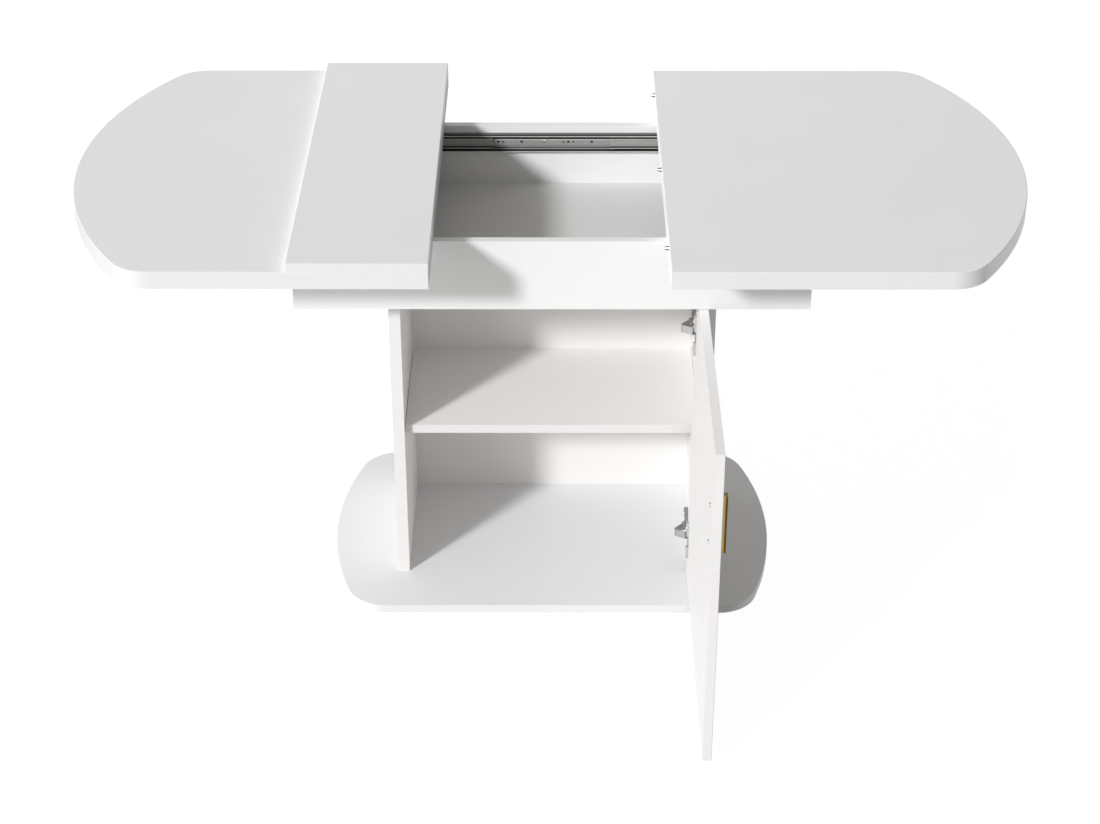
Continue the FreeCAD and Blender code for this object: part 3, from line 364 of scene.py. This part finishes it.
def rolled_channel(name, member, web_bands, lip_bands):
    """A slide's zinc-plated channel with fine rolling lines, banded with painted shade and highlights."""
    wall_face, middle, half = slide_seat(member)
    material, nodes = new_material(name, metallic=0.15)
    height = nodes.spread(nodes.place_along("Z"), 0.0, 1.0, (middle - half, middle + half))
    web = nodes.ramp(height, band_stops(web_bands, half))
    lips = nodes.ramp(height, band_stops(lip_bands, half))
    on_lips = nodes.spread(nodes.away_from("Y", wall_face), 0.0, 1.0, LIP_START)
    steel = nodes.mix(on_lips, web, lips)
    nodes.feed("Base Color", nodes.mix(cloudy_plating(nodes, DULL_SHARE), steel, DULL_PLATING))
    nodes.feed("Specular IOR Level", CHANNEL_SPECULAR)
    fine_lines(nodes, LINES_ALONG_X, CHANNEL_ROUGHNESS)
    return material


OLIVE_BRASS = ((0.30, (0.100, 0.056, 0.006)), (0.55, (0.130, 0.072, 0.009)), (0.75, (0.145, 0.066, 0.007)))
HIGHLIGHT_BRASS = (0.44, 0.33, 0.15)
END_HIGHLIGHT_BRASS = (0.30, 0.27, 0.08)

# How far from the door the painted highlight starts to give way, and how far it reaches
HIGHLIGHT_REACH = (7.2 * MM, 8.6 * MM)

# How far under the handle's top the painted highlight of its end starts, and where it is full
END_DEPTH = (2.2 * MM, 0.8 * MM)


def aged_brass(name, handle):
    """Antique brass: olive brown, with pale painted highlights on the feet, the bar's back and its upper end.
    """
    low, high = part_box(handle)
    material, nodes = new_material(name, metallic=1.0)
    back = tuple(low[0] + reach for reach in HIGHLIGHT_REACH)
    top = tuple(high[2] - depth for depth in END_DEPTH)
    body = nodes.ramp(nodes.noise(scale=24.0, detail=4.0), OLIVE_BRASS)
    # Painted highlights: paler near the door and at the upper end
    highlighted = nodes.mix(nodes.spread(nodes.place_along("X"), 1.0, 0.0, back), body, HIGHLIGHT_BRASS)
    colour = nodes.mix(nodes.spread(nodes.place_along("Z"), 0.0, 1.0, top), highlighted, END_HIGHLIGHT_BRASS)
    nodes.feed("Base Color", colour)
    fine_lines(nodes, LINES_ALONG_Z, roughness=(0.30, 0.46))
    return material


# Wood

PALE_BEECH = ((0.3, (0.52, 0.35, 0.20)), (0.55, (0.66, 0.47, 0.29)), (0.75, (0.72, 0.54, 0.35)))
BEECH_FLECK = (0.36, 0.22, 0.12)
FLECK_RANGE = (0.62, 0.72)
FLECK_STRENGTH = 0.6
WHITE_PAINT = ((0.3, (0.62, 0.60, 0.56)), (0.7, (0.72, 0.71, 0.68)))


def grain_along_x(nodes):
    return nodes.noise(detail=5.0, stretch=(9.0, 160.0, 160.0), roughness=0.6)


def beech(name):
    """Planed beech: pale grain with short darker flecks."""
    material, nodes = new_material(name)
    grain = grain_along_x(nodes)
    flecks = nodes.spread(nodes.noise(stretch=(120.0, 900.0, 900.0)), 0.0, FLECK_STRENGTH, FLECK_RANGE)
    nodes.feed("Base Color", nodes.mix(flecks, nodes.ramp(grain, PALE_BEECH), BEECH_FLECK))
    nodes.feed("Roughness", nodes.spread(grain, 0.45, 0.6))
    nodes.feed("Normal", nodes.bump(grain, strength=0.2, distance=0.2 * MM))
    return material


def painted_wood(name):
    """Beech under a thin white coat: the grain shows as fine ridges and faintly warmer streaks."""
    material, nodes = new_material(name)
    grain = grain_along_x(nodes)
    nodes.feed("Base Color", nodes.ramp(grain, WHITE_PAINT))
    nodes.feed("Roughness", 0.5)
    nodes.feed("Normal", nodes.bump(grain, strength=0.25, distance=0.2 * MM))
    return material


# Finishes, and slightly broken edges

GREY_NICKEL = (0.50, 0.495, 0.49)

ZINC = rolled_steel("zinc_steel", tone=(0.42, 0.415, 0.405), metallic=0.55)
NICKEL = pressed_metal("nickel_plate", tone=GREY_NICKEL, roughness=0.40)
BRIGHT_NICKEL = pressed_metal("bright_nickel", tone=(0.78, 0.775, 0.77), roughness=0.30)
CAST_NICKEL = pressed_metal("cast_nickel", tone=GREY_NICKEL, roughness=0.50, metallic=0.7)
PIN_NICKEL = pressed_metal("pin_nickel", tone=(0.80, 0.795, 0.79), roughness=0.36, metallic=0.2)
# Near black: painted shade in the screws' cross recesses and the pins' grooves
PAINTED_RECESS_SHADE = pressed_metal("painted_shade_black", tone=(0.035, 0.035, 0.036), roughness=0.50)
BEECH = beech("planed_beech")
PAINTED_BEECH = painted_wood("painted_beech")

CHANNELS = {}
for wall in ("front", "back"):
    outer = "slide_outer_" + wall
    CHANNELS["outer", wall] = rolled_channel("outer_channel_" + wall, outer, OUTER_WEB, OUTER_LIPS)
    CHANNELS["middle", wall] = rolled_channel("middle_channel_" + wall, outer, MIDDLE_WEB, MIDDLE_LIPS)

# The finishes of the other pieces, by their slot
BY_SLOT = {
    "zinc_steel": ZINC,
    "nickel": NICKEL,
    "beech": BEECH,
}

# For each slot, how much is taken off a sharp edge
EDGE_BREAKS = {
    "white_lacquer": 0.5 * MM,
    "zinc_steel": 0.25 * MM,
    "nickel": 0.25 * MM,
    "brass": 0.7 * MM,
    "beech": 0.5 * MM,
}
SHARP_ANGLE = math.radians(40)
WELD_DISTANCE = 0.005 * MM


def material_for(name, slot_name):
    if name in BOARDS:
        return lacquer_with_painted_light(name, **BOARDS[name])
    if "slide_outer" in name or "slide_middle" in name:
        return CHANNELS[tuple(name.split("_")[-2:])]
    if slot_name == "brass":
        return aged_brass("aged_brass", name)
    if "cleat" in name:
        return PAINTED_BEECH
    if name == "hinge_cups":
        return CAST_NICKEL
    return BY_SLOT[slot_name]


def finish_node(name, slot_name):
    """Gives a CAD piece its finish, joins its split facets and breaks its sharp edges."""
    piece = NODES[name]
    piece.data.materials.clear()
    piece.data.materials.append(material_for(name, slot_name))
    weld = piece.modifiers.new("joined", "WELD")
    weld.merge_threshold = WELD_DISTANCE
    bevel = piece.modifiers.new("broken_edges", "BEVEL")
    bevel.width = EDGE_BREAKS[slot_name]
    bevel.segments = 2
    bevel.limit_method = "ANGLE"
    bevel.angle_limit = SHARP_ANGLE
    smooth = piece.modifiers.new("even_normals", "WEIGHTED_NORMAL")
    smooth.keep_sharp = True


for item in frame["record"]["subparts"]:
    finish_node(item["node"], item["material_slot"])


# Mesh tools

def islands(name):
    """The boxes of a node's separate solids, as (lowest corner, highest corner), sorted by the lowest."""
    mesh = bmesh.new()
    mesh.from_mesh(NODES[name].data)
    bmesh.ops.remove_doubles(mesh, verts=mesh.verts, dist=WELD_DISTANCE)
    waiting = set(mesh.verts)
    boxes = []
    while waiting:
        front = [waiting.pop()]
        points = []
        while front:
            vertex = front.pop()
            points.append(vertex.co.copy())
            for edge in vertex.link_edges:
                other = edge.other_vert(vertex)
                if other in waiting:
                    waiting.remove(other)
                    front.append(other)
        boxes.append(tuple(Vector(pick(point[axis] for point in points) for axis in range(3))
                           for pick in (min, max)))
    mesh.free()
    return sorted(boxes, key=lambda box: tuple(box[0]))


def ring_solid(rings):
    """A closed solid from rings of equally many points, each end closed by one face."""
    mesh = bmesh.new()
    rows = [[mesh.verts.new(point) for point in ring] for ring in rings]
    count = len(rings[0])
    for lower, upper in zip(rows, rows[1:]):
        for index in range(count):
            after = (index + 1) % count
            mesh.faces.new((lower[index], lower[after], upper[after], upper[index]))
    mesh.faces.new(list(reversed(rows[0])))
    mesh.faces.new(rows[-1])
    bmesh.ops.recalc_face_normals(mesh, faces=mesh.faces)
    return mesh


def circle_of(radius, height, count=28):
    angles = [2 * math.pi * number / count for number in range(count)]
    return [(radius * math.cos(angle), radius * math.sin(angle), height) for angle in angles]


def as_mesh(name, shape):
    data = bpy.data.meshes.new(name)
    shape.to_mesh(data)
    shape.free()
    return data


def merged(name, meshes):
    """One mesh of several, which are removed."""
    whole = bmesh.new()
    for mesh in meshes:
        whole.from_mesh(mesh)
        bpy.data.meshes.remove(mesh)
    return as_mesh(name, whole)


def dark_lined(name, mesh, finish):
    """An object whose recesses and grooves, the faces of the second material, are painted near black as
    shade.
    """
    piece = bpy.data.objects.new(name, mesh)
    for material in (finish, PAINTED_RECESS_SHADE):
        piece.data.materials.append(material)
    bpy.context.scene.collection.objects.link(piece)
    return piece


# Screws: pan heads with cross recesses in place of the plain ones

TOWARDS_LEFT = Matrix.Rotation(math.radians(-90), 4, "Y")
TOWARDS_FRONT = Matrix.Rotation(math.radians(90), 4, "X")
TOWARDS_BACK = Matrix.Rotation(math.radians(-90), 4, "X")

# The head's outline from its seat to its top: height and radius, as shares of the whole head's
HEAD_OUTLINE = ((0.0, 1.0), (0.40, 1.0), (0.72, 0.93), (0.93, 0.70), (1.0, 0.35))

# The shank's tip as a share of its radius, and the length of its point in radii
TIP_SHARE = 0.25
POINT_LENGTH = 2.5

# The recess as a share of the head's radius and height, and the length and width of its two bars at the
# bottom and above the head, as shares of the recess's radius
RECESS_RADIUS = 0.62
RECESS_DEPTH = 0.75
BARS_AT_BOTTOM = (0.30, 0.16)
BARS_ABOVE = (1.15, 0.34)

# The recess's faces lie deeper than its lip, and no deeper than this share of its depth
RECESS_LIP = 0.05 * MM
RECESS_MARGIN = 1.05

SCREW_EDGE_BREAK = 0.12 * MM


def cross_cutter(name, radius, depth, top):
    """Two crossed bars that narrow from above the head to the recess's bottom."""
    cross = bmesh.new()
    for turned in (False, True):
        for vertex in bmesh.ops.create_cube(cross, size=1.0)["verts"]:
            lower = vertex.co.z < 0
            length, width = BARS_AT_BOTTOM if lower else BARS_ABOVE
            x, y = vertex.co.x * length * radius, vertex.co.y * width * radius
            if turned:
                x, y = -y, x
            vertex.co = Vector((x, y, top - depth if lower else top + depth))
    return bpy.data.objects.new(name, as_mesh(name, cross))


def recessed(name, head, radius, depth, top):
    """The head less a cross-shaped recess, whose faces take the second material, the painted shade."""
    base = bpy.data.objects.new(name, head)
    cutter = cross_cutter(name + "_cross", radius, depth, top)
    for thing in (base, cutter):
        bpy.context.scene.collection.objects.link(thing)
    cut = base.modifiers.new("recess", "BOOLEAN")
    cut.operation = "DIFFERENCE"
    cut.solver = "EXACT"
    cut.use_self = True
    cut.object = cutter
    evaluated = base.evaluated_get(bpy.context.evaluated_depsgraph_get())
    result = bpy.data.meshes.new_from_object(evaluated)
    # The recess's faces take the painted shade
    for face in result.polygons:
        near_axis = math.hypot(face.center.x, face.center.y) < radius
        in_recess = top - RECESS_MARGIN * depth < face.center.z < top - RECESS_LIP
        face.material_index = 1 if near_axis and in_recess else 0
    for thing in (base, cutter):
        bpy.data.objects.remove(thing)
    return result


def screw_mesh(name, head_radius, head_height, shank_radius, length):
    """A pan-head screw along Z with its seat at zero and its shank below."""
    rings = [circle_of(shank_radius * TIP_SHARE, -length),
             circle_of(shank_radius, -length + POINT_LENGTH * shank_radius),
             circle_of(shank_radius, 0.0)]
    for level, share in HEAD_OUTLINE:
        rings.append(circle_of(head_radius * share, head_height * level))
    head = as_mesh(name, ring_solid(rings))
    return recessed(name, head, head_radius * RECESS_RADIUS, head_height * RECESS_DEPTH, head_height)


def gathered(name, mesh, turn, places, finish):
    """One object made of copies of a screw, turned and set at each place."""
    copies = []
    for place in places:
        copy = bmesh.new()
        copy.from_mesh(mesh)
        bmesh.ops.transform(copy, matrix=Matrix.Translation(place) @ turn, verts=copy.verts)
        copies.append(as_mesh(name + "_copy", copy))
    piece = dark_lined(name, merged(name, copies), finish)
    edges = piece.modifiers.new("broken_edges", "BEVEL")
    edges.width = SCREW_EDGE_BREAK
    edges.limit_method = "ANGLE"
    return piece


# For each kind of screw in the CAD: its head's height, its shank's diameter, its body and its finish
SCREWS = {
    "hinge_plate_screws": dict(head=1.6 * MM, shank=3.5 * MM, body="cabinet", finish=BRIGHT_NICKEL),
    "hinge_cup_screws": dict(head=1.6 * MM, shank=3.5 * MM, body="door", finish=BRIGHT_NICKEL),
    "hinge_arm_screws": dict(head=1.8 * MM, shank=4.0 * MM, body="cabinet", finish=BRIGHT_NICKEL),
    "handle_screws": dict(head=2.0 * MM, shank=4.0 * MM, body="door", finish=NICKEL),
}


def dress_screws():
    """Turned screws in place of the CAD's, which lie along X.

    One object holds those of one length, to a hundredth of a millimetre.
    """
    for name, kind in SCREWS.items():
        by_length = {}
        for low, high in islands(name):
            by_length.setdefault(round(high.x - low.x, 5), []).append((low, high))
        for number, (length, boxes) in enumerate(by_length.items()):
            head_radius = (boxes[0][1].y - boxes[0][0].y) / 2
            mesh = screw_mesh(name, head_radius, kind["head"], kind["shank"] / 2, length - kind["head"])
            places = [Vector((low.x + kind["head"], (low.y + high.y) / 2, (low.z + high.z) / 2))
                      for low, high in boxes]
            piece = gathered("%s_turned_%d" % (name, number), mesh, TOWARDS_LEFT, places, kind["finish"])
            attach(piece, kind["body"])
            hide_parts(name)


# The slides' own screws: their places along X, how far from the wall they are seated, and their low heads,
# which the middle members pass
SLIDE_SCREW_PLACES = (-265.0 * MM, -13.0 * MM, 239.0 * MM)
SLIDE_SCREW_SEAT = 3.6 * MM
SLIDE_SCREW = dict(head_radius=3.4 * MM, head_height=0.55 * MM, shank_radius=2.0 * MM, length=12.0 * MM)


def dress_slide_screws():
    mesh = screw_mesh("slide_screw", **SLIDE_SCREW)
    for wall, inward, turn in (("front", 1, TOWARDS_BACK), ("back", -1, TOWARDS_FRONT)):
        wall_face, middle = slide_seat("slide_outer_" + wall)[:2]
        places = [Vector((x, wall_face + inward * SLIDE_SCREW_SEAT, middle)) for x in SLIDE_SCREW_PLACES]
        piece = gathered("slide_screws_" + wall, mesh, turn, places, BRIGHT_NICKEL)
        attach(piece, "cabinet")


# Alignment pins: ribs, and grooves darkened with painted shade, in place of the plain pins

# The points round a pin: each rib has some, and the groove beside it the rest of its share. The turn is in
# points, and brings one rib towards the camera
RIBS = 4
POINTS_PER_RIB = 8
POINTS_ON_RIB = 5
RIB_TURN = 0.19

# A groove's radius, as a share of the rib's
GROOVE_SHARE = 0.62

# Along a pin, from its left end: where the rounded tip ends, the grooves start and the taper ends
TIP_END = 0.5 * MM
GROOVE_START = 1.4 * MM
TAPER_END = 8.0 * MM

# The rib's radius at the left end, where the tip ends and where the grooves start
LEFT_END_RADIUS = 0.72 * MM
TIP_RADIUS = 1.2 * MM
GROOVE_START_RADIUS = 1.62 * MM

# How far before the wood the grooves start to close, and where they are closed
GROOVE_CLOSES = (0.3 * MM, 0.2 * MM)

# Faces nearer to the axis than this share of the rib's radius take painted shade, from this far behind the
# tip
DARK_SHARE = 0.88
DARK_START = 1.0 * MM


def ribbed_pin(low, high, wood_face):
    """A tapered pin that points left, with ribs and grooves where it stands out of the wood."""
    radius = (high.y - low.y) / 2
    middle = (low + high) / 2
    stations = ((low.x, LEFT_END_RADIUS, 1.0),
                (low.x + TIP_END, TIP_RADIUS, 1.0),
                (low.x + GROOVE_START, GROOVE_START_RADIUS, GROOVE_SHARE),
                (low.x + TAPER_END, radius, GROOVE_SHARE),
                (wood_face - GROOVE_CLOSES[0], radius, GROOVE_SHARE),
                (wood_face - GROOVE_CLOSES[1], radius, 1.0),
                (high.x, radius, 1.0))
    rings = []
    for x, rib_radius, share in stations:
        ring = []
        for number in range(RIBS * POINTS_PER_RIB):
            angle = 2 * math.pi * (number + RIB_TURN) / (RIBS * POINTS_PER_RIB)
            reach = rib_radius if number % POINTS_PER_RIB < POINTS_ON_RIB else rib_radius * share
            ring.append((x, middle.y + reach * math.sin(angle), middle.z + reach * math.cos(angle)))
        rings.append(ring)
    shape = ring_solid(rings)
    for face in shape.faces:
        centre = face.calc_center_median()
        from_axis = math.hypot(centre.y - middle.y, centre.z - middle.z)
        taper = min(max((centre.x - low.x) / TAPER_END, 0.0), 1.0)
        rib_radius = TIP_RADIUS + (radius - TIP_RADIUS) * taper
        # Faces deep in the grooves take the painted shade
        if from_axis < rib_radius * DARK_SHARE and low.x + DARK_START < centre.x < wood_face:
            face.material_index = 1
    return shape


def dress_pins():
    wood_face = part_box("right_top")[0][0]
    pins = [as_mesh("pin_copy", ribbed_pin(low, high, wood_face))
            for low, high in islands("alignment_pins")]
    piece = dark_lined("ribbed_alignment_pins", merged("ribbed_alignment_pins", pins), PIN_NICKEL)
    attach(piece, "right_half")
    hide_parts("alignment_pins")


dress_screws()
dress_slide_screws()
dress_pins()


# Stage: a floor and a backdrop that are white to the camera, with the table's soft shadow kept

# The floor lies this far below the base plate, so that the two don't flicker in a view from below
FLOOR_DROP = 0.3 * MM
FLOOR_SIZE = 60.0

# What the camera and reflections see is a glow with a veil over it that takes the shadow. Other rays meet a
# plain floor of this tone
FLOOR_GLOW = 0.93
FLOOR_VEIL = 0.16
FLOOR_TONE = 0.64

AMBIENT_COLOUR = (1.0, 0.978, 0.945)
AMBIENT_STRENGTH = 0.32


def grey(tone):
    return (tone, tone, tone, 1.0)


def floor_material():
    material = bpy.data.materials.new("studio_white")
    material.use_nodes = True
    material.node_tree.nodes.clear()
    nodes = Nodes(material.node_tree)
    plain = nodes.add("BsdfDiffuse", Color=grey(FLOOR_TONE))
    veil = nodes.add("BsdfDiffuse", Color=grey(FLOOR_VEIL))
    glow = nodes.add("Emission", Strength=FLOOR_GLOW)
    seen = nodes.add("AddShader")
    for source, target in zip((veil, glow), seen.inputs):
        nodes.put(source.outputs[0], target)
    rays = nodes.add("LightPath")
    shown = nodes.calculate("MAXIMUM", rays.outputs["Is Camera Ray"], rays.outputs["Is Glossy Ray"])
    surface = nodes.mix_shaders(shown, plain.outputs[0], seen.outputs[0])
    nodes.put(surface, nodes.add("OutputMaterial").inputs["Surface"])
    return material


def make_floor():
    bpy.ops.mesh.primitive_plane_add(size=FLOOR_SIZE, location=(0.0, 0.0, -FLOOR_DROP))
    floor = bpy.context.object
    floor.name = "studio_floor"
    floor.data.materials.append(floor_material())


def make_world():
    world = bpy.data.worlds.new("studio")
    bpy.context.scene.world = world
    world.use_nodes = True
    world.node_tree.nodes.clear()
    nodes = Nodes(world.node_tree)
    ambient = nodes.add("Background", Color=(*AMBIENT_COLOUR, 1.0), Strength=AMBIENT_STRENGTH)
    backdrop = nodes.add("Background", Color=grey(1.0), Strength=1.0)
    seen = nodes.add("LightPath").outputs["Is Camera Ray"]
    surface = nodes.mix_shaders(seen, ambient.outputs[0], backdrop.outputs[0])
    nodes.put(surface, nodes.add("OutputWorld").inputs["Surface"])


# Lights

TABLE_MIDDLE = (0.0, 0.0, 0.40)

# The key light: where it stands, as a direction seen from the table, its strength, colour and width
KEY_DIRECTION = (-0.577, -0.679, 0.455)
KEY_DISTANCE = 5.0
KEY_STRENGTH = 3.0
KEY_COLOUR = (0.99, 1.0, 1.015)
KEY_WIDTH = math.radians(7.0)

# For each square lamp: its name, its place, its width in metres and its power in watts
SOFTBOXES = (
    ("front_left_softbox", (-3.2, -3.4, 1.3), 2.5, 40.0),
    ("front_low_softbox", (0.3, -4.2, 0.4), 2.5, 24.0),
    ("left_softbox", (-4.5, 0.0, 1.3), 2.5, 16.0),
    ("back_left_softbox", (-3.4, 3.2, 2.0), 2.5, 28.0),
    ("back_softbox", (0.0, 4.6, 2.2), 2.5, 14.0),
    ("right_fill", (3.6, 2.0, 0.5), 1.5, 12.0),
)


def set_up(name, data, place, target):
    """Stands a light at a place and aims it."""
    light = bpy.data.objects.new(name, data)
    light.location = place
    light.rotation_euler = (Vector(target) - light.location).to_track_quat("-Z", "Y").to_euler()
    bpy.context.scene.collection.objects.link(light)


def make_lights():
    key = bpy.data.lights.new("key", "SUN")
    key.energy = KEY_STRENGTH
    key.color = KEY_COLOUR
    key.angle = KEY_WIDTH
    set_up("key", key, Vector(KEY_DIRECTION) * KEY_DISTANCE, (0.0, 0.0, 0.0))
    for name, place, width, power in SOFTBOXES:
        box = bpy.data.lights.new(name, "AREA")
        box.shape = "SQUARE"
        box.size = width
        box.energy = power
        set_up(name, box, place, TABLE_MIDDLE)


# Camera, solved from the table's straight edges: millimetres, metres and degrees

FOCAL_LENGTH = 75.48
SENSOR_WIDTH = 36.0
CAMERA_PLACE = (0.0021, -3.5777, 2.4353)
CAMERA_TURN = (58.736, 0.0, 0.093)


def make_camera():
    data = bpy.data.cameras.new("photo_view")
    data.lens = FOCAL_LENGTH
    data.sensor_width = SENSOR_WIDTH
    data.sensor_fit = "HORIZONTAL"
    camera = bpy.data.objects.new("photo_view", data)
    camera.location = CAMERA_PLACE
    camera.rotation_euler = tuple(math.radians(angle) for angle in CAMERA_TURN)
    bpy.context.scene.collection.objects.link(camera)
    bpy.context.scene.camera = camera


make_floor()
make_lights()
make_world()
make_camera()

bpy.context.scene.view_settings.view_transform = "Standard"
